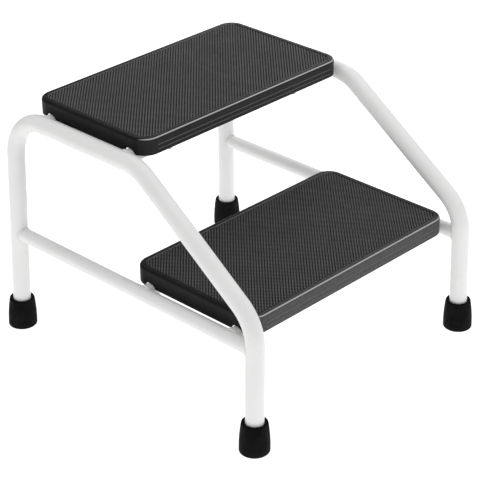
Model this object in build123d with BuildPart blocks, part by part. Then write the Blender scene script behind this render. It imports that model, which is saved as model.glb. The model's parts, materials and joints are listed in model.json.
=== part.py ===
"""Two-step stool: a welded tube frame, two moulded treads with mats, and four rubber ferrules.

Axes: +X is the user's right when climbing from the front, +Y is the rear, +Z is up.
The origin is on the floor, midway between the four feet.
"""
import os
from math import cos, radians, sin

from build123d import *

os.makedirs("parts", exist_ok=True)

# ---------------------------------------------------------------- driving dimensions (mm)
# Tubes
frame_tube_diameter = 25.0
cross_tube_diameter = 20.0
tube_wall = 1.5
bend_radius = 63.0            # centreline radius of every bend in a side frame

# Side frame centreline, in its own leaning plane: (distance towards the rear, height)
half_wheelbase = 231.0        # from mid-length to each foot, along Y
top_run_height = 332.8
rear_leg_lean = 9.2           # the rear leg leans forward by this much at the top run
front_leg_lean = 0.8          # the front leg leans back by this much at the slope's foot
slope_top_reach = -23.1       # where the top run turns down towards the front
slope_foot_height = 185.6     # where the slope meets the front leg
half_spacing_top = 203.0      # from mid-width to the top run's centreline
splay_angle = 1.25            # each side frame leans in at the top

rail_height = 148.8
upper_pair_height = 333.2     # the cross tubes under the upper tread
lower_pair_height = 149.7     # the cross tubes under the lower tread
cross_tube_setback = 3.0      # how far their ends stop short of the side tube's centreline

# Treads
tread_corner_radius = 23.5
tread_wall = 3.0
rim_width = 8.5
mat_recess_depth = 2.6
mat_thickness = 2.0
mat_clearance = 0.3
top_edge_radius = 4.0
bottom_edge_radius = 2.0
deck_thickness = 3.0
rib_thickness = 2.0
rib_columns = 8
rib_rows = 4
rib_gap_above_skirt = 1.0
nosing_heights = (6.0, 12.4)  # two raised beads on the front skirt, above its lower edge
nosing_radius = 1.2
nosing_proud = 0.8
notch_clearance = 1.3
notch_length = 7.0            # centred on the tread's end, so it passes through the end skirt

# The reach of a tread, or of the pair of cross tubes under it, is how far its middle is to the rear.
upper_tread_length = 377.8
upper_tread_width = 215.2
upper_tread_height = 24.2
upper_tread_top = 361.0
upper_tread_reach = 86.7
upper_pair_reach = 84.6
upper_pair_spacing = 154.4
lower_tread_length = 389.4
lower_tread_width = 220.4
lower_tread_height = 25.8
lower_tread_top = 179.0
lower_tread_reach = -104.5
lower_pair_reach = -107.0
lower_pair_spacing = 158.8

# Tread screws, driven up through a cross tube into a boss
screw_spacing = 240.0
screw_diameter = 4.8
screw_head_diameter = 9.5
screw_head_height = 3.4
screw_length = 29.0
screw_recess_span = 5.0
screw_recess_slot = 1.0
screw_recess_depth = 1.8
boss_diameter = 13.0

# Ferrules
ferrule_height = 44.0
ferrule_base_diameter = 41.0
ferrule_widest_height = 6.0
ferrule_top_diameter = 35.0
ferrule_bulge = 0.8           # how far the side stands out from a straight cone
ferrule_shoulder_radius = 2.0
ferrule_lead_in = 1.8         # chamfer round the mouth, where the tube goes in
ferrule_sole = 5.0
ferrule_below_floor = 2.0     # extra length that is cut off level with the floor
sole_edge_radius = 2.4
washer_diameter = 24.6
washer_thickness = 2.0
sole_ring_diameters = (12.0, 24.0)
sole_ring_width = 3.0
sole_ring_depth = 1.2

# ---------------------------------------------------------------- side frame geometry
frame_radius = frame_tube_diameter / 2
cross_radius = cross_tube_diameter / 2
tube_foot = ferrule_sole + washer_thickness
half_spacing_foot = half_spacing_top + top_run_height * sin(radians(splay_angle))

# The left frame's plane stands on the floor and leans towards +X as it rises.
left_plane = Plane(
    origin=(-half_spacing_foot, 0, 0),
    x_dir=(0, 1, 0),
    z_dir=(cos(radians(splay_angle)), 0, -sin(radians(splay_angle))),
)

rear_foot = Vector(half_wheelbase, 0)
rear_top = Vector(half_wheelbase - rear_leg_lean, top_run_height)
slope_top = Vector(slope_top_reach, top_run_height)
slope_foot = Vector(front_leg_lean - half_wheelbase, slope_foot_height)
front_foot = Vector(-half_wheelbase, 0)


def along(start, end, distance):
    """The point a given distance from start on the way to end."""
    return start + (end - start).normalized() * distance


def leg_reach(foot, top, height):
    """How far along Y a leg's centreline is at a height."""
    return foot.X + (top.X - foot.X) * height / top.Y


def side_spacing(height):
    """Half the distance between the two side frames' centrelines at a height."""
    return half_spacing_foot - height * sin(radians(splay_angle))


frame_route = [
    left_plane.from_local_coords(point)
    for point in (
        along(rear_foot, rear_top, tube_foot),
        rear_top,
        slope_top,
        slope_foot,
        along(front_foot, slope_foot, tube_foot),
    )
]


def save(builder, name):
    """Label a finished piece and write it out."""
    builder.part.label = name
    export_step(builder.part, f"parts/{name}.step")


# ---------------------------------------------------------------- side frames
with BuildPart() as left_envelope:
    with BuildLine() as centreline:
        FilletPolyline(*frame_route, radius=bend_radius)
    with BuildSketch(Plane(origin=centreline.line @ 0, z_dir=centreline.line % 0)):
        Circle(frame_radius)
    sweep(path=centreline.line)

with BuildPart() as left_side_frame:
    with BuildSketch(Plane(origin=centreline.line @ 0, z_dir=centreline.line % 0)):
        Circle(frame_radius)
        Circle(frame_radius - tube_wall, mode=Mode.SUBTRACT)
    sweep(path=centreline.line)
save(left_side_frame, "left_side_frame")

with BuildPart() as right_side_frame:
    mirror(left_side_frame.part, about=Plane.YZ)
save(right_side_frame, "right_side_frame")

with BuildPart() as right_envelope:
    mirror(left_envelope.part, about=Plane.YZ)

# ---------------------------------------------------------------- side rails
# A straight tube between the legs of each side frame, its ends cut to fit round them.
rail_reach = leg_reach(rear_foot, rear_top, rail_height)
rail_start = (-side_spacing(rail_height), -rail_reach, rail_height)

with BuildPart() as left_rail_envelope:
    with BuildSketch(Plane(origin=rail_start, z_dir=(0, 1, 0))):
        Circle(cross_radius)
    extrude(amount=2 * rail_reach)
    add(left_envelope.part, mode=Mode.SUBTRACT)

with BuildPart() as left_side_rail:
    with BuildSketch(Plane(origin=rail_start, z_dir=(0, 1, 0))):
        Circle(cross_radius)
        Circle(cross_radius - tube_wall, mode=Mode.SUBTRACT)
    extrude(amount=2 * rail_reach)
    add(left_envelope.part, mode=Mode.SUBTRACT)
save(left_side_rail, "left_side_rail")

with BuildPart() as right_side_rail:
    mirror(left_side_rail.part, about=Plane.YZ)
save(right_side_rail, "right_side_rail")

with BuildPart() as right_rail_envelope:
    mirror(left_rail_envelope.part, about=Plane.YZ)

# ---------------------------------------------------------------- cross tubes
# Two under each tread: the upper pair ends on the side frames, the lower pair on the side rails.
upper_front_reach = upper_pair_reach - upper_pair_spacing / 2
upper_rear_reach = upper_pair_reach + upper_pair_spacing / 2
lower_front_reach = lower_pair_reach - lower_pair_spacing / 2
lower_rear_reach = lower_pair_reach + lower_pair_spacing / 2
cross_tubes = {
    "upper_front_cross_tube": (upper_front_reach, upper_pair_height),
    "upper_rear_cross_tube": (upper_rear_reach, upper_pair_height),
    "lower_front_cross_tube": (lower_front_reach, lower_pair_height),
    "lower_rear_cross_tube": (lower_rear_reach, lower_pair_height),
}
screw_places = (-screw_spacing / 2, screw_spacing / 2)

for name, (reach, height) in cross_tubes.items():
    half_length = side_spacing(height) - cross_tube_setback
    with BuildPart() as cross_tube:
        with BuildSketch(Plane(origin=(-half_length, reach, height), z_dir=(1, 0, 0))):
            Circle(cross_radius)
            Circle(cross_radius - tube_wall, mode=Mode.SUBTRACT)
        extrude(amount=2 * half_length)
        for neighbour in (left_envelope, right_envelope, left_rail_envelope, right_rail_envelope):
            add(neighbour.part, mode=Mode.SUBTRACT)
        with Locations(*[(x, reach, height) for x in screw_places]):
            Cylinder(screw_diameter / 2, frame_tube_diameter, mode=Mode.SUBTRACT)
    save(cross_tube, name)

# ---------------------------------------------------------------- treads
upper_tread = {
    "length": upper_tread_length,
    "width": upper_tread_width,
    "height": upper_tread_height,
    "top": upper_tread_top,
    "reach": upper_tread_reach,
    "tube_height": upper_pair_height,
    "tube_reaches": (upper_front_reach, upper_rear_reach),
}
lower_tread = {
    "length": lower_tread_length,
    "width": lower_tread_width,
    "height": lower_tread_height,
    "top": lower_tread_top,
    "reach": lower_tread_reach,
    "tube_height": lower_pair_height,
    "tube_reaches": (lower_front_reach, lower_rear_reach),
}
treads = {"upper": upper_tread, "lower": lower_tread}

for level, tread in treads.items():
    length, width, top, reach = tread["length"], tread["width"], tread["top"], tread["reach"]
    bottom = top - tread["height"]
    deck_top = top - mat_recess_depth
    deck_bottom = deck_top - deck_thickness
    inner_length = length - 2 * tread_wall
    inner_width = width - 2 * tread_wall
    rib_depth = deck_bottom - bottom - rib_gap_above_skirt
    screw_points = [(x, y) for x in screw_places for y in tread["tube_reaches"]]

    # Tray: a deck with a rim and a deep skirt, ribbed underneath, with a boss over each screw.
    with BuildPart() as tray:
        with BuildSketch(Plane.XY.offset(bottom)):
            with Locations((0, reach)):
                RectangleRounded(length, width, tread_corner_radius)
        extrude(amount=tread["height"])
        fillet(tray.faces().sort_by(Axis.Z)[-1].edges(), top_edge_radius)
        fillet(tray.faces().sort_by(Axis.Z)[0].edges(), bottom_edge_radius)
        with BuildSketch(Plane.XY.offset(deck_top)):
            with Locations((0, reach)):
                RectangleRounded(
                    length - 2 * rim_width, width - 2 * rim_width, tread_corner_radius - rim_width
                )
        extrude(amount=mat_recess_depth, mode=Mode.SUBTRACT)
        with BuildSketch(Plane.XY.offset(bottom)):
            with Locations((0, reach)):
                RectangleRounded(inner_length, inner_width, tread_corner_radius - tread_wall)
        extrude(amount=deck_bottom - bottom, mode=Mode.SUBTRACT)
        # Ribs under the deck
        with BuildSketch(Plane.XY.offset(bottom + rib_gap_above_skirt)):
            with Locations((0, reach)):
                with GridLocations(inner_length / (rib_columns + 1), 0, rib_columns, 1):
                    Rectangle(rib_thickness, inner_width)
                with GridLocations(0, inner_width / (rib_rows + 1), 1, rib_rows):
                    Rectangle(inner_length, rib_thickness)
            with Locations(*screw_points):
                Circle(boss_diameter / 2)
        extrude(amount=rib_depth)
        # Raised beads along the front skirt
        bead_reach = reach - width / 2 + nosing_radius - nosing_proud
        for bead_height in nosing_heights:
            with BuildSketch(Plane.YZ.offset(tread_corner_radius - length / 2)):
                with Locations((bead_reach, bottom + bead_height)):
                    Circle(nosing_radius)
            extrude(amount=length - 2 * tread_corner_radius)
        # Seats for the cross tubes, a little wider where they leave through the end skirts
        for tube_reach in tread["tube_reaches"]:
            with Locations((0, tube_reach, tread["tube_height"])):
                Cylinder(
                    cross_radius, 2 * half_spacing_top, rotation=(0, 90, 0), mode=Mode.SUBTRACT
                )
            for end in (-1, 1):
                with Locations((end * length / 2, tube_reach, tread["tube_height"])):
                    Cylinder(
                        cross_radius + notch_clearance,
                        notch_length,
                        rotation=(0, 90, 0),
                        mode=Mode.SUBTRACT,
                    )
        with Locations(*[(x, y, tread["tube_height"]) for x, y in screw_points]):
            Cylinder(
                screw_diameter / 2,
                screw_length - cross_radius,
                align=(Align.CENTER, Align.CENTER, Align.MIN),
                mode=Mode.SUBTRACT,
            )
    save(tray, f"{level}_tread_tray")

    # Mat: a thin rubber sheet laid in the tray's recess.
    with BuildPart() as mat:
        with BuildSketch(Plane.XY.offset(deck_top)):
            with Locations((0, reach)):
                RectangleRounded(
                    length - 2 * rim_width - 2 * mat_clearance,
                    width - 2 * rim_width - 2 * mat_clearance,
                    tread_corner_radius - rim_width - mat_clearance,
                )
        extrude(amount=mat_thickness)
    save(mat, f"{level}_tread_mat")

    # Pan-head screws, all four of one tread together.
    head_top = tread["tube_height"] - cross_radius
    with BuildPart() as screws:
        with Locations(*[(x, y, head_top) for x, y in screw_points]):
            Cylinder(
                screw_diameter / 2, screw_length, align=(Align.CENTER, Align.CENTER, Align.MIN)
            )
            Cylinder(
                screw_head_diameter / 2,
                screw_head_height,
                align=(Align.CENTER, Align.CENTER, Align.MAX),
            )
        head_faces = screws.faces().filter_by(Axis.Z).group_by(Axis.Z)[0]
        fillet(head_faces.edges(), screw_head_height / 2)
        with BuildSketch(Plane.XY.offset(head_top - screw_head_height)):
            with Locations(*screw_points):
                Rectangle(screw_recess_span, screw_recess_slot)
                Rectangle(screw_recess_slot, screw_recess_span)
        extrude(amount=screw_recess_depth, mode=Mode.SUBTRACT)
    save(screws, f"{level}_tread_screws")

# ---------------------------------------------------------------- ferrules
# Each ferrule is turned about its own leg's axis and cut flat where it stands on the floor.
base_radius = ferrule_base_diameter / 2
ferrule_top_radius = ferrule_top_diameter / 2
side_bulge_point = (
    (base_radius + ferrule_top_radius) / 2 + ferrule_bulge,
    (ferrule_widest_height + ferrule_height) / 2,
)

legs = {"rear": (rear_foot, rear_top), "front": (front_foot, slope_foot)}

for end, (foot, top) in legs.items():
    foot_point = left_plane.from_local_coords(foot)
    leg_direction = left_plane.from_local_coords(top) - foot_point
    leg_plane = Plane(origin=foot_point, z_dir=leg_direction)
    section_plane = Plane(origin=foot_point, x_dir=leg_plane.x_dir, z_dir=-leg_plane.y_dir)

    with BuildPart() as left_ferrule:
        with BuildSketch(section_plane):
            with BuildLine():
                Polyline(
                    (frame_radius + ferrule_lead_in, ferrule_height),
                    (frame_radius, ferrule_height - ferrule_lead_in),
                    (frame_radius, tube_foot),
                    (washer_diameter / 2, tube_foot),
                    (washer_diameter / 2, ferrule_sole),
                    (0, ferrule_sole),
                    (0, -ferrule_below_floor),
                    (base_radius, -ferrule_below_floor),
                    (base_radius, ferrule_widest_height),
                )
                ThreePointArc(
                    (base_radius, ferrule_widest_height),
                    side_bulge_point,
                    (ferrule_top_radius, ferrule_height),
                )
                Line(
                    (ferrule_top_radius, ferrule_height),
                    (frame_radius + ferrule_lead_in, ferrule_height),
                )
            make_face()
        revolve(axis=Axis(foot_point, leg_direction))
        top_face = left_ferrule.faces().sort_by(Axis.Z)[-1]
        fillet(top_face.outer_wire().edges(), ferrule_shoulder_radius)
        split(bisect_by=Plane.XY, keep=Keep.TOP)
        fillet(left_ferrule.edges().group_by(Axis.Z)[0], sole_edge_radius)
        with BuildSketch(Plane.XY):
            with Locations((foot_point.X, foot_point.Y)):
                for ring in sole_ring_diameters:
                    Circle(ring / 2 + sole_ring_width / 2)
                    Circle(ring / 2 - sole_ring_width / 2, mode=Mode.SUBTRACT)
        extrude(amount=sole_ring_depth, mode=Mode.SUBTRACT)
    save(left_ferrule, f"left_{end}_ferrule")

    with BuildPart() as right_ferrule:
        mirror(left_ferrule.part, about=Plane.YZ)
    save(right_ferrule, f"right_{end}_ferrule")

    # A steel washer in the bottom of the bore keeps the tube from cutting through the sole.
    with BuildPart() as left_washer:
        with BuildSketch(leg_plane.offset(ferrule_sole)):
            Circle(washer_diameter / 2)
        extrude(amount=washer_thickness)
    save(left_washer, f"left_{end}_ferrule_washer")

    with BuildPart() as right_washer:
        mirror(left_washer.part, about=Plane.YZ)
    save(right_washer, f"right_{end}_ferrule_washer")
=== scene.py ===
"""Looks for the two-step stool: painted tube frame, black moulded trays, patterned rubber mats."""
import json
from math import cos, pi, radians, sin, sqrt, tau

import bmesh
import bpy
import numpy as np
from mathutils import Matrix, Vector


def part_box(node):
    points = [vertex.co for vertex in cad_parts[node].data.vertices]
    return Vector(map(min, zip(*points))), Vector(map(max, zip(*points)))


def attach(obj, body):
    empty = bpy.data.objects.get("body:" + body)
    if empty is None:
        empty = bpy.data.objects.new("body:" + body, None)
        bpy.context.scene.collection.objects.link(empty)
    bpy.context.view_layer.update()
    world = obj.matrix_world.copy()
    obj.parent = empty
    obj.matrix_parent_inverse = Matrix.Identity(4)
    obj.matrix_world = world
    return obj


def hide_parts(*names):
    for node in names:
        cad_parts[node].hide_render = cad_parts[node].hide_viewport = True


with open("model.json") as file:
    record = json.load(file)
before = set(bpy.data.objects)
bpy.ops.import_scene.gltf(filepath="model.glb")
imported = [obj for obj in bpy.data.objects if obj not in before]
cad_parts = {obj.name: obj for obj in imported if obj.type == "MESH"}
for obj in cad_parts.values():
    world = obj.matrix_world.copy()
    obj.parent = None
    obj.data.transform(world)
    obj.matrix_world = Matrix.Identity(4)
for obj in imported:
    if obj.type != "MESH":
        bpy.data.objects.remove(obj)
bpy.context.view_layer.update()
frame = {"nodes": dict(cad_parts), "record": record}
nodes = frame["nodes"]
MM = 0.001

# ---------------------------------------------------------------- dimensions (metres)
FRAME_TUBE_RADIUS = 12.5 * MM
CROSS_TUBE_RADIUS = 10.0 * MM
WELD_RADIUS = 1.4 * MM
WELD_RIPPLE = 0.13              # how much a bead swells and narrows, as a share of its radius
WELD_RIPPLE_LENGTH = 1.8 * MM
WELD_STEPS = 160                # points along a bead
WELD_SIDES = 10                 # points round a bead
LEAST_WELD_REACH = 3.0 * MM     # a cross tube's end stops this far short of the rail's centreline

MAT_CORNER_RADIUS = 14.7 * MM
STUD_PITCH = 3.7 * MM
STUD_HEIGHT = 1.0 * MM
STUD_SLOPE = 1.0 * MM           # how wide each sloping side is, seen from above
CORNER_CUTS = 7                 # straight cuts that round each corner of a mat

RIM_WIDTH = 8.5 * MM            # the flat rim round each tray's recess
TOP_EDGE_RADIUS = 4.0 * MM      # the rounding along each tray's top edge
RECESS_DEPTH = 2.6 * MM
FLOOR_HALF = 1.7                # half the floor's side


# ---------------------------------------------------------------- camera, light and floor
def add_camera():
    """The camera circles a point on the stool, at an azimuth from the front and an elevation."""
    target = Vector((-39.16, -41.29, 170.0)) * MM
    azimuth, elevation, roll = radians(-45.54), radians(28.58), radians(-0.77)
    distance = 2401.85 * MM
    back = Vector((
        sin(azimuth) * cos(elevation),
        -cos(azimuth) * cos(elevation),
        sin(elevation),
    ))
    level_right = Vector((cos(azimuth), sin(azimuth), 0))
    level_up = back.cross(level_right)
    right = cos(roll) * level_right + sin(roll) * level_up
    up = cos(roll) * level_up - sin(roll) * level_right
    data = bpy.data.cameras.new("camera")
    data.sensor_width = 36.0
    data.lens = 132.03
    data.shift_x = 0.0008
    data.shift_y = -0.0022
    data.clip_end = 50.0
    camera = bpy.data.objects.new("camera", data)
    rotation = Matrix((right, up, back)).transposed().to_4x4()
    camera.matrix_world = Matrix.Translation(target + distance * back) @ rotation
    bpy.context.scene.collection.objects.link(camera)
    bpy.context.scene.camera = camera


def add_softbox(name, direction, distance, size, radiance, target=(0, 0, 0.2)):
    """A rectangular light that faces the target from a direction."""
    data = bpy.data.lights.new(name, "AREA")
    data.shape = "RECTANGLE"
    data.size, data.size_y = size
    data.energy = radiance * pi * size[0] * size[1]
    light = bpy.data.objects.new(name, data)
    towards = Vector(direction).normalized()
    light.location = Vector(target) + towards * distance
    light.rotation_euler = towards.to_track_quat("Z", "Y").to_euler()
    bpy.context.scene.collection.objects.link(light)


def add_world(strength, reflected_strength):
    """An even white studio that looks dimmer in reflections, so that those show the softboxes."""
    world = bpy.data.worlds.new("studio")
    world.use_nodes = True
    tree = world.node_tree
    background = tree.nodes["Background"]
    path = tree.nodes.new("ShaderNodeLightPath")
    lighting = tree.nodes.new("ShaderNodeMapRange")
    lighting.inputs["To Min"].default_value = strength
    lighting.inputs["To Max"].default_value = reflected_strength
    seen = tree.nodes.new("ShaderNodeMath")
    seen.operation = "MAXIMUM"
    tree.links.new(path.outputs["Is Glossy Ray"], lighting.inputs["Value"])
    tree.links.new(lighting.outputs["Result"], seen.inputs[0])
    tree.links.new(path.outputs["Is Camera Ray"], seen.inputs[1])
    tree.links.new(seen.outputs[0], background.inputs["Strength"])
    background.inputs["Color"].default_value = (1.0, 1.0, 1.0, 1.0)
    bpy.context.scene.world = world


def add_floor():
    """A pale floor that glows, so that the feet leave hardly any shadow on it."""
    mesh = bpy.data.meshes.new("floor")
    corners = [(x * FLOOR_HALF, y * FLOOR_HALF, 0) for x, y in ((-1, -1), (1, -1), (1, 1), (-1, 1))]
    mesh.from_pydata(corners, [], [(0, 1, 2, 3)])
    floor = bpy.data.objects.new("floor", mesh)
    material = bpy.data.materials.new("pale_floor")
    material.use_nodes = True
    shader = material.node_tree.nodes["Principled BSDF"]
    shader.inputs["Base Color"].default_value = (0.45, 0.45, 0.45, 1.0)
    shader.inputs["Roughness"].default_value = 0.9
    shader.inputs["Specular IOR Level"].default_value = 0.0
    shader.inputs["Emission Color"].default_value = (1.0, 1.0, 1.0, 1.0)
    shader.inputs["Emission Strength"].default_value = 0.92
    mesh.materials.append(material)
    bpy.context.scene.collection.objects.link(floor)


# ---------------------------------------------------------------- material building
class Shader:
    """One Principled material, with short calls for the nodes that feed it."""

    def __init__(self, name):
        self.material = bpy.data.materials.new(name)
        self.material.use_nodes = True
        self.tree = self.material.node_tree
        self.principled = self.tree.nodes["Principled BSDF"]
        self.place = self.tree.nodes.new("ShaderNodeTexCoord").outputs["Object"]

    def set(self, **values):
        for socket, value in values.items():
            self.principled.inputs[socket.replace("_", " ")].default_value = value

    def link(self, output, socket):
        self.tree.links.new(output, self.principled.inputs[socket])

    def noise(self, size, detail=3.0, roughness=0.55):
        """Noise whose features are about size metres across."""
        node = self.tree.nodes.new("ShaderNodeTexNoise")
        node.inputs["Scale"].default_value = 1.0 / size
        node.inputs["Detail"].default_value = detail
        node.inputs["Roughness"].default_value = roughness
        self.tree.links.new(self.place, node.inputs["Vector"])
        return node.outputs["Fac"]

    def ramp(self, value, low, high, start=0.3, end=0.7):
        """value from start to end becomes low to high, which are numbers or colours."""
        node = self.tree.nodes.new("ShaderNodeMapRange")
        node.clamp = True
        node.inputs["From Min"].default_value = start
        node.inputs["From Max"].default_value = end
        self.tree.links.new(value, node.inputs["Value"])
        if not isinstance(low, tuple):
            node.inputs["To Min"].default_value = low
            node.inputs["To Max"].default_value = high
            return node.outputs["Result"]
        return self.mix(node.outputs["Result"], low, high)

    def mix(self, factor, low, high):
        node = self.tree.nodes.new("ShaderNodeMix")
        node.data_type = "RGBA"
        self.tree.links.new(factor, node.inputs[0])
        for end, index in ((low, 6), (high, 7)):
            if isinstance(end, tuple):
                node.inputs[index].default_value = (*end, 1.0)
            else:
                self.tree.links.new(end, node.inputs[index])
        return node.outputs[2]

    def math(self, operation, first, second=0.0):
        node = self.tree.nodes.new("ShaderNodeMath")
        node.operation = operation
        for value, socket in ((first, node.inputs[0]), (second, node.inputs[1])):
            if isinstance(value, (int, float)):
                socket.default_value = value
            else:
                self.tree.links.new(value, socket)
        return node.outputs[0]

    def product(self, first, *others):
        for other in others:
            first = self.math("MULTIPLY", first, other)
        return first

    def place_part(self, axis):
        """How far along an axis a point lies, in the CAD's frame."""
        parts = self.tree.nodes.new("ShaderNodeSeparateXYZ")
        self.tree.links.new(self.place, parts.inputs[0])
        return parts.outputs[axis]

    def normal_part(self, axis):
        """The part of the surface's own normal along an axis."""
        geometry = self.tree.nodes.new("ShaderNodeNewGeometry")
        split = self.tree.nodes.new("ShaderNodeSeparateXYZ")
        self.tree.links.new(geometry.outputs["Normal"], split.inputs[0])
        return split.outputs[axis]

    def crevice(self, distance):
        """1 in the open, less in a corner narrower than the distance."""
        node = self.tree.nodes.new("ShaderNodeAmbientOcclusion")
        node.samples = 6
        node.inputs["Distance"].default_value = distance
        return node.outputs["AO"]

    def attribute(self, name):
        node = self.tree.nodes.new("ShaderNodeAttribute")
        node.attribute_name = name
        return node.outputs["Fac"]

    def bump(self, *layers):
        """Bump from (height, depth in metres) layers, one on the other."""
        normal = None
        for height, depth in layers:
            node = self.tree.nodes.new("ShaderNodeBump")
            node.inputs["Strength"].default_value = 1.0
            node.inputs["Distance"].default_value = depth
            self.tree.links.new(height, node.inputs["Height"])
            if normal is not None:
                self.tree.links.new(normal, node.inputs["Normal"])
            normal = node.outputs["Normal"]
        self.link(normal, "Normal")


def white_powder_coat():
    """Glossy white powder coat: faint orange peel, a few soft scuffs, painted shade in the corners.
    """
    paint = Shader("white_powder_coat")
    paint.set(IOR=1.5, Specular_IOR_Level=0.35, Coat_Weight=0.12, Coat_Roughness=0.12)
    cloud = paint.ramp(paint.noise(60 * MM), (0.735, 0.735, 0.73), (0.765, 0.765, 0.76))
    scuffs = paint.ramp(paint.noise(7 * MM, detail=6.0, roughness=0.7), 0.0, 0.35, 0.62, 0.74)
    scuffed = paint.mix(scuffs, cloud, (0.66, 0.66, 0.65))
    # painted shade: the paint turns a darker grey where the crevice reading finds a tight corner
    corner_shade = paint.ramp(paint.crevice(5 * MM), 0.0, 1.0, 0.25, 0.75)
    paint.link(paint.mix(corner_shade, (0.66, 0.66, 0.65), scuffed), "Base Color")
    paint.link(paint.ramp(paint.noise(25 * MM), 0.26, 0.40), "Roughness")
    paint.bump((paint.noise(1.6 * MM, detail=1.0), 0.03 * MM), (paint.noise(9 * MM), 0.06 * MM))
    return paint.material


def rim_inset(plastic, low, high):
    """How far a point of a tray lies in from the nearest side of its box."""
    insets = []
    for axis, start, end in (("X", low.x, high.x), ("Y", low.y, high.y)):
        from_middle = plastic.math("SUBTRACT", plastic.place_part(axis), (start + end) / 2)
        off_middle = plastic.math("ABSOLUTE", from_middle)
        insets.append(plastic.math("SUBTRACT", (end - start) / 2, off_middle))
    return plastic.math("MINIMUM", *insets)


def black_tray_plastic(name, node, scuffing):
    """Black moulded plastic with a fine eroded grain. Its front top edge, the tops of its front
    beads and the front-facing wall of its recess carry painted highlights; shoes have scuffed its
    front skirt and front rim grey.

    scuffing is how grey the front skirt has become.
    """
    low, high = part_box(node)
    plastic = Shader(name)
    plastic.set(IOR=1.5, Specular_IOR_Level=0.15)

    # where a point is: 1 inside each zone and 0 outside it
    height = plastic.place_part("Z")
    slant = plastic.normal_part("Z")
    rim_top = high.z - TOP_EDGE_RADIUS
    recess_floor = high.z - RECESS_DEPTH
    facing_front = plastic.ramp(plastic.normal_part("Y"), 1.0, 0.0, -0.55, -0.25)
    at_top = plastic.ramp(height, 0.0, 1.0, rim_top - 2 * MM, rim_top)
    under_top = plastic.math("SUBTRACT", 1.0, at_top)
    # painted highlight masks: the rounded front top edge, and the upward-facing tops of the front
    # skirt's beads
    rounding = plastic.product(
        plastic.ramp(slant, 0.0, 1.0, 0.50, 0.70),
        plastic.ramp(slant, 1.0, 0.0, 0.82, 0.92),
        at_top,
    )
    bead = plastic.product(plastic.ramp(slant, 0.0, 0.25, 0.20, 0.60), under_top)
    edge = plastic.product(facing_front, plastic.math("MAXIMUM", rounding, bead))
    inset = rim_inset(plastic, low, high)
    # painted highlight mask: the front-facing wall of the recess, just inside the rim
    lip_highlight = plastic.product(
        facing_front,
        plastic.ramp(inset, 0.0, 1.0, RIM_WIDTH - 1 * MM, RIM_WIDTH - 0.5 * MM),
        plastic.ramp(slant, 1.0, 0.0, 0.3, 0.6),
        plastic.ramp(height, 0.0, 1.0, recess_floor - 0.6 * MM, recess_floor - 0.2 * MM),
    )
    front_rim = plastic.ramp(
        plastic.place_part("Y"), 0.7, 0.0, low.y + RIM_WIDTH - 1 * MM, low.y + RIM_WIDTH + 0.5 * MM
    )
    trodden = plastic.math("MAXIMUM", facing_front, front_rim)

    # what each zone looks like
    cloud = plastic.ramp(plastic.noise(40 * MM), (0.006, 0.006, 0.0062), (0.010, 0.010, 0.0102))
    specks = plastic.ramp(plastic.noise(1.2 * MM, detail=5.0, roughness=0.7), 0.0, 0.5, 0.62, 0.75)
    dusty = plastic.mix(specks, cloud, (0.03, 0.03, 0.03))
    streaks = plastic.ramp(plastic.noise(5 * MM, detail=6.0, roughness=0.65), 0.55, 1.0)
    scuffed = plastic.mix(plastic.product(trodden, streaks, scuffing), dusty, (0.10, 0.10, 0.10))
    # painted highlight: that wall is coloured a lighter grey
    lipped = plastic.mix(lip_highlight, scuffed, (0.22, 0.22, 0.22))
    # painted highlight: the front edge and the beads' tops are coloured a pale grey
    plastic.link(plastic.mix(edge, lipped, (0.42, 0.42, 0.42)), "Base Color")
    satin = plastic.ramp(plastic.noise(6 * MM, detail=4.0), 0.42, 0.56)
    plastic.link(plastic.math("SUBTRACT", satin, plastic.product(edge, 0.15)), "Roughness")
    plastic.bump((plastic.noise(0.7 * MM, detail=4.0), 0.04 * MM))
    return plastic.material


def grey_mat_rubber():
    """Dark grey rubber matting: stud tops pale, grooves far darker with painted shade and dust."""
    rubber = Shader("grey_mat_rubber")
    rubber.set(IOR=1.5, Specular_IOR_Level=0.25)
    patches = rubber.noise(35 * MM, detail=5.0)
    cloud = rubber.ramp(patches, (0.100, 0.100, 0.100), (0.124, 0.124, 0.123))
    # painted shade and dust: the grooves between the studs are coloured far darker than the stud
    # tops
    groove_shade_and_dust = rubber.ramp(rubber.noise(4 * MM), (0.010, 0.010, 0.010), (0.016, 0.016, 0.016))
    tops_and_shaded_grooves = rubber.mix(rubber.ramp(rubber.attribute("relief"), 0.0, 1.0, 0.5, 1.0), groove_shade_and_dust, cloud)
    specks = rubber.ramp(rubber.noise(1.0 * MM, detail=5.0, roughness=0.7), 0.0, 0.4, 0.60, 0.75)
    rubber.link(rubber.mix(specks, tops_and_shaded_grooves, (0.12, 0.12, 0.115)), "Base Color")
    rubber.link(rubber.ramp(rubber.noise(10 * MM), 0.62, 0.80), "Roughness")
    rubber.bump((rubber.noise(0.5 * MM, detail=4.0), 0.04 * MM))
    return rubber.material


def black_ferrule_rubber():
    """Matt black rubber with a little dust near the floor."""
    rubber = Shader("black_ferrule_rubber")
    rubber.set(IOR=1.5, Specular_IOR_Level=0.05)
    patches = rubber.noise(12 * MM, detail=5.0)
    cloud = rubber.ramp(patches, (0.003, 0.003, 0.0034), (0.007, 0.007, 0.0074))
    dust = rubber.product(
        rubber.ramp(rubber.place_part("Z"), 0.5, 0.0, 0.0, 9 * MM),
        rubber.ramp(rubber.noise(2 * MM, detail=5.0), 0.0, 1.0, 0.45, 0.65),
    )
    rubber.link(rubber.mix(dust, cloud, (0.024, 0.023, 0.022)), "Base Color")
    rubber.link(rubber.ramp(rubber.noise(8 * MM, detail=4.0), 0.55, 0.75), "Roughness")
    rubber.bump((rubber.noise(0.8 * MM, detail=4.0), 0.05 * MM))
    return rubber.material


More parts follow.
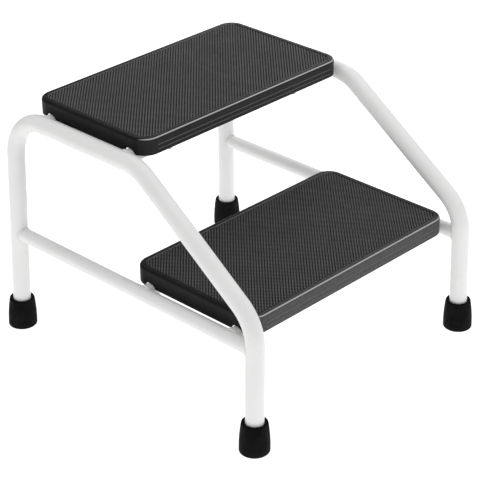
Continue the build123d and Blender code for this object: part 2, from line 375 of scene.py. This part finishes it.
def zinc_plate():
    """Bright zinc plating on steel, with a faint mottle."""
    zinc = Shader("zinc_plate")
    zinc.set(Metallic=1.0)
    mottle = zinc.noise(3 * MM, detail=5.0)
    zinc.link(zinc.ramp(mottle, (0.52, 0.53, 0.52), (0.72, 0.72, 0.68)), "Base Color")
    zinc.link(zinc.ramp(zinc.noise(1.5 * MM, detail=5.0), 0.22, 0.42), "Roughness")
    zinc.bump((zinc.noise(0.4 * MM), 0.01 * MM))
    return zinc.material


def dress(obj, material):
    """Puts one material in every slot of an object."""
    if not obj.material_slots:
        obj.data.materials.append(material)
    for slot in obj.material_slots:
        slot.material = material


# ---------------------------------------------------------------- mats
def stud_lines(reach):
    """Where the stud pattern's height changes along one diagonal, as (place, height) pairs."""
    count = int(reach / STUD_PITCH) + 1
    profile = ((0.0, 0.0), (STUD_SLOPE, 1.0), (STUD_PITCH - STUD_SLOPE, 1.0))
    lines = [
        (k * STUD_PITCH + place, height)
        for k in range(-count, count)
        for place, height in profile
    ]
    return np.array([place for place, _ in lines]), np.array([height for _, height in lines])


def cut_sheet(mesh, point, outward):
    """Removes what lies beyond a vertical plane."""
    bmesh.ops.bisect_plane(
        mesh,
        geom=mesh.verts[:] + mesh.edges[:] + mesh.faces[:],
        plane_co=point,
        plane_no=outward,
        clear_outer=True,
    )


def stud_field(name, low, high):
    """An open sheet of diamond studs that covers a box and a little more."""
    middle = (low + high) / 2
    half_length, half_width = (high.x - low.x) / 2, (high.y - low.y) / 2
    places, heights = stud_lines((half_length + half_width) / sqrt(2))
    along, across = np.meshgrid(places, places, indexing="ij")
    x = (along - across) / sqrt(2)
    y = (along + across) / sqrt(2)
    z = high.z - STUD_HEIGHT * (1 - np.minimum.outer(heights, heights))
    inside = (abs(x) < half_length + STUD_PITCH) & (abs(y) < half_width + STUD_PITCH)
    number = np.cumsum(inside.ravel()).reshape(inside.shape) - 1

    points = np.stack([x + middle.x, y + middle.y, z], axis=-1)[inside]
    whole = inside[:-1, :-1] & inside[1:, :-1] & inside[1:, 1:] & inside[:-1, 1:]
    first, second = np.nonzero(whole)
    quads = np.stack([
        number[first, second],
        number[first + 1, second],
        number[first + 1, second + 1],
        number[first, second + 1],
    ], axis=-1)
    data = bpy.data.meshes.new(name)
    data.from_pydata(points.tolist(), [], quads.tolist())
    return data


def cut_outline(sheet, low, high):
    """Cuts the sheet to the box's sides and rounds its four corners."""
    middle = (low + high) / 2
    half_length, half_width = (high.x - low.x) / 2, (high.y - low.y) / 2
    for axis, half in ((Vector((1, 0, 0)), half_length), (Vector((0, 1, 0)), half_width)):
        for way in (-1, 1):
            cut_sheet(sheet, middle + way * half * axis, way * axis)
    for side_x, side_y in ((1, 1), (1, -1), (-1, -1), (-1, 1)):
        centre = middle + Vector((
            side_x * (half_length - MAT_CORNER_RADIUS),
            side_y * (half_width - MAT_CORNER_RADIUS),
            0,
        ))
        for step in range(CORNER_CUTS):
            turn = radians(90) * (step + 0.5) / CORNER_CUTS
            outward = Vector((side_x * cos(turn), side_y * sin(turn), 0))
            cut_sheet(sheet, centre + MAT_CORNER_RADIUS * outward, outward)
    bmesh.ops.remove_doubles(sheet, verts=sheet.verts[:], dist=1e-6)


def close_sheet(sheet, bottom_z):
    """Gives the sheet upright sides and a flat underside."""
    rim = [edge for edge in sheet.edges if edge.is_boundary]
    skirt = bmesh.ops.extrude_edge_only(sheet, edges=rim)["geom"]
    for item in skirt:
        if isinstance(item, bmesh.types.BMVert):
            item.co.z = bottom_z
    bottom = [item for item in skirt if isinstance(item, bmesh.types.BMEdge) and item.is_boundary]
    bmesh.ops.edgeloop_fill(sheet, edges=bottom)
    bmesh.ops.recalc_face_normals(sheet, faces=sheet.faces[:])


def stud_mat(node):
    """A rubber sheet with diamond studs all over, cut to the node's rounded outline."""
    low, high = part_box(node)
    data = stud_field(f"{node}_studs", low, high)
    sheet = bmesh.new()
    sheet.from_mesh(data)
    cut_outline(sheet, low, high)
    close_sheet(sheet, low.z)
    sheet.to_mesh(data)
    sheet.free()

    relief = data.attributes.new("relief", "FLOAT", "POINT")
    places = np.empty(len(data.vertices) * 3)
    data.vertices.foreach_get("co", places)
    relief.data.foreach_set("value", 1 - (high.z - places[2::3]) / STUD_HEIGHT)
    mat = bpy.data.objects.new(f"{node}_studded", data)
    bpy.context.scene.collection.objects.link(mat)
    return mat


def add_mats(material):
    for level in ("upper", "lower"):
        node = f"{level}_tread_mat"
        mat = stud_mat(node)
        dress(mat, material)
        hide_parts(node)
        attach(mat, "root")


# ---------------------------------------------------------------- welds
def weld_bead(name, centre_points):
    """A rippled bead along a closed line of points."""
    count = len(centre_points)
    line = [Vector(p) for p in centre_points]
    length = sum((line[i] - line[i - 1]).length for i in range(count))
    ripples = round(length / WELD_RIPPLE_LENGTH)
    middle = sum(line, Vector()) / count
    points, quads = [], []
    for i in range(count):
        tangent = (line[(i + 1) % count] - line[i - 1]).normalized()
        outward = line[i] - middle
        outward = (outward - outward.dot(tangent) * tangent).normalized()
        side = tangent.cross(outward)
        radius = WELD_RADIUS * (1 + WELD_RIPPLE * sin(tau * ripples * i / count))
        for j in range(WELD_SIDES):
            turn = tau * j / WELD_SIDES
            points.append(line[i] + radius * (cos(turn) * outward + sin(turn) * side))
            here, following = i * WELD_SIDES, (i + 1) % count * WELD_SIDES
            beside = (j + 1) % WELD_SIDES
            quads.append((here + j, following + j, following + beside, here + beside))
    data = bpy.data.meshes.new(name)
    data.from_pydata(points, [], quads)
    data.shade_smooth()
    bead = bpy.data.objects.new(name, data)
    bpy.context.scene.collection.objects.link(bead)
    return bead


def ring():
    """Points round a cross tube or a rail, as distances from its centreline in two directions."""
    for i in range(WELD_STEPS):
        turn = tau * i / WELD_STEPS
        yield CROSS_TUBE_RADIUS * cos(turn), CROSS_TUBE_RADIUS * sin(turn)


def cross_tube_welds():
    """Beads at both ends of each cross tube, on the side frames above and the rails below."""
    _, frame_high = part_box("left_side_frame")
    rail_low, rail_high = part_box("left_side_rail")
    rail_middle = (rail_low + rail_high) / 2
    mains = {
        "upper": (
            frame_high.x - FRAME_TUBE_RADIUS,
            frame_high.z - FRAME_TUBE_RADIUS,
            FRAME_TUBE_RADIUS,
        ),
        "lower": (rail_middle.x, rail_middle.z, CROSS_TUBE_RADIUS),
    }
    for level, (main_x, main_z, main_radius) in mains.items():
        for end in ("front", "rear"):
            low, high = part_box(f"{level}_{end}_cross_tube")
            reach, height = (low.y + high.y) / 2, (low.z + high.z) / 2
            line = [
                (along, up, sqrt(max(
                    main_radius**2 - (up + height - main_z) ** 2,
                    LEAST_WELD_REACH**2,
                )))
                for along, up in ring()
            ]
            for side, way in (("left", 1), ("right", -1)):
                points = [
                    (way * (main_x + out), reach + along, height + up) for along, up, out in line
                ]
                yield weld_bead(f"weld_{side}_{level}_{end}_cross_tube", points)


def rail_welds():
    """Beads at both ends of each side rail, on the legs."""
    seat = sqrt(FRAME_TUBE_RADIUS**2 - CROSS_TUBE_RADIUS**2)
    for side in ("left", "right"):
        low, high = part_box(f"{side}_side_rail")
        x, height = (low.x + high.x) / 2, (low.z + high.z) / 2
        legs = {"rear": (high.y + seat, -1), "front": (low.y - seat, 1)}
        for end, (leg_y, way) in legs.items():
            points = [
                (x + across, leg_y + way * sqrt(FRAME_TUBE_RADIUS**2 - across**2), height + up)
                for across, up in ring()
            ]
            yield weld_bead(f"weld_{side}_{end}_rail", points)


def add_welds(material):
    for bead in [*cross_tube_welds(), *rail_welds()]:
        dress(bead, material)
        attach(bead, "root")


# ---------------------------------------------------------------- the scene
add_camera()
add_world(0.82, 0.30)
add_softbox("overhead_softbox", (0.1, 0, 1), 2.0, (1.6, 1.6), 0.9)
add_softbox("rear_softbox", (0.80, 0.55, 0.50), 1.2, (0.7, 0.6), 1.6)
add_softbox("front_strip", (0.63, -0.48, 0.61), 2.2, (0.9, 0.4), 3.2)
add_floor()
bpy.context.scene.view_settings.view_transform = "Standard"

paint = white_powder_coat()
finishes = {
    "frame_paint": paint,
    "tray_plastic": black_tray_plastic("upper_tray_plastic", "upper_tread_tray", 0.12),
    "mat_rubber": grey_mat_rubber(),
    "ferrule_rubber": black_ferrule_rubber(),
    "zinc_steel": zinc_plate(),
}
for subpart in frame["record"]["subparts"]:
    dress(nodes[subpart["node"]], finishes[subpart["material_slot"]])
scuffed = black_tray_plastic("lower_tray_plastic", "lower_tread_tray", 0.75)
dress(nodes["lower_tread_tray"], scuffed)
add_mats(finishes["mat_rubber"])
add_welds(paint)
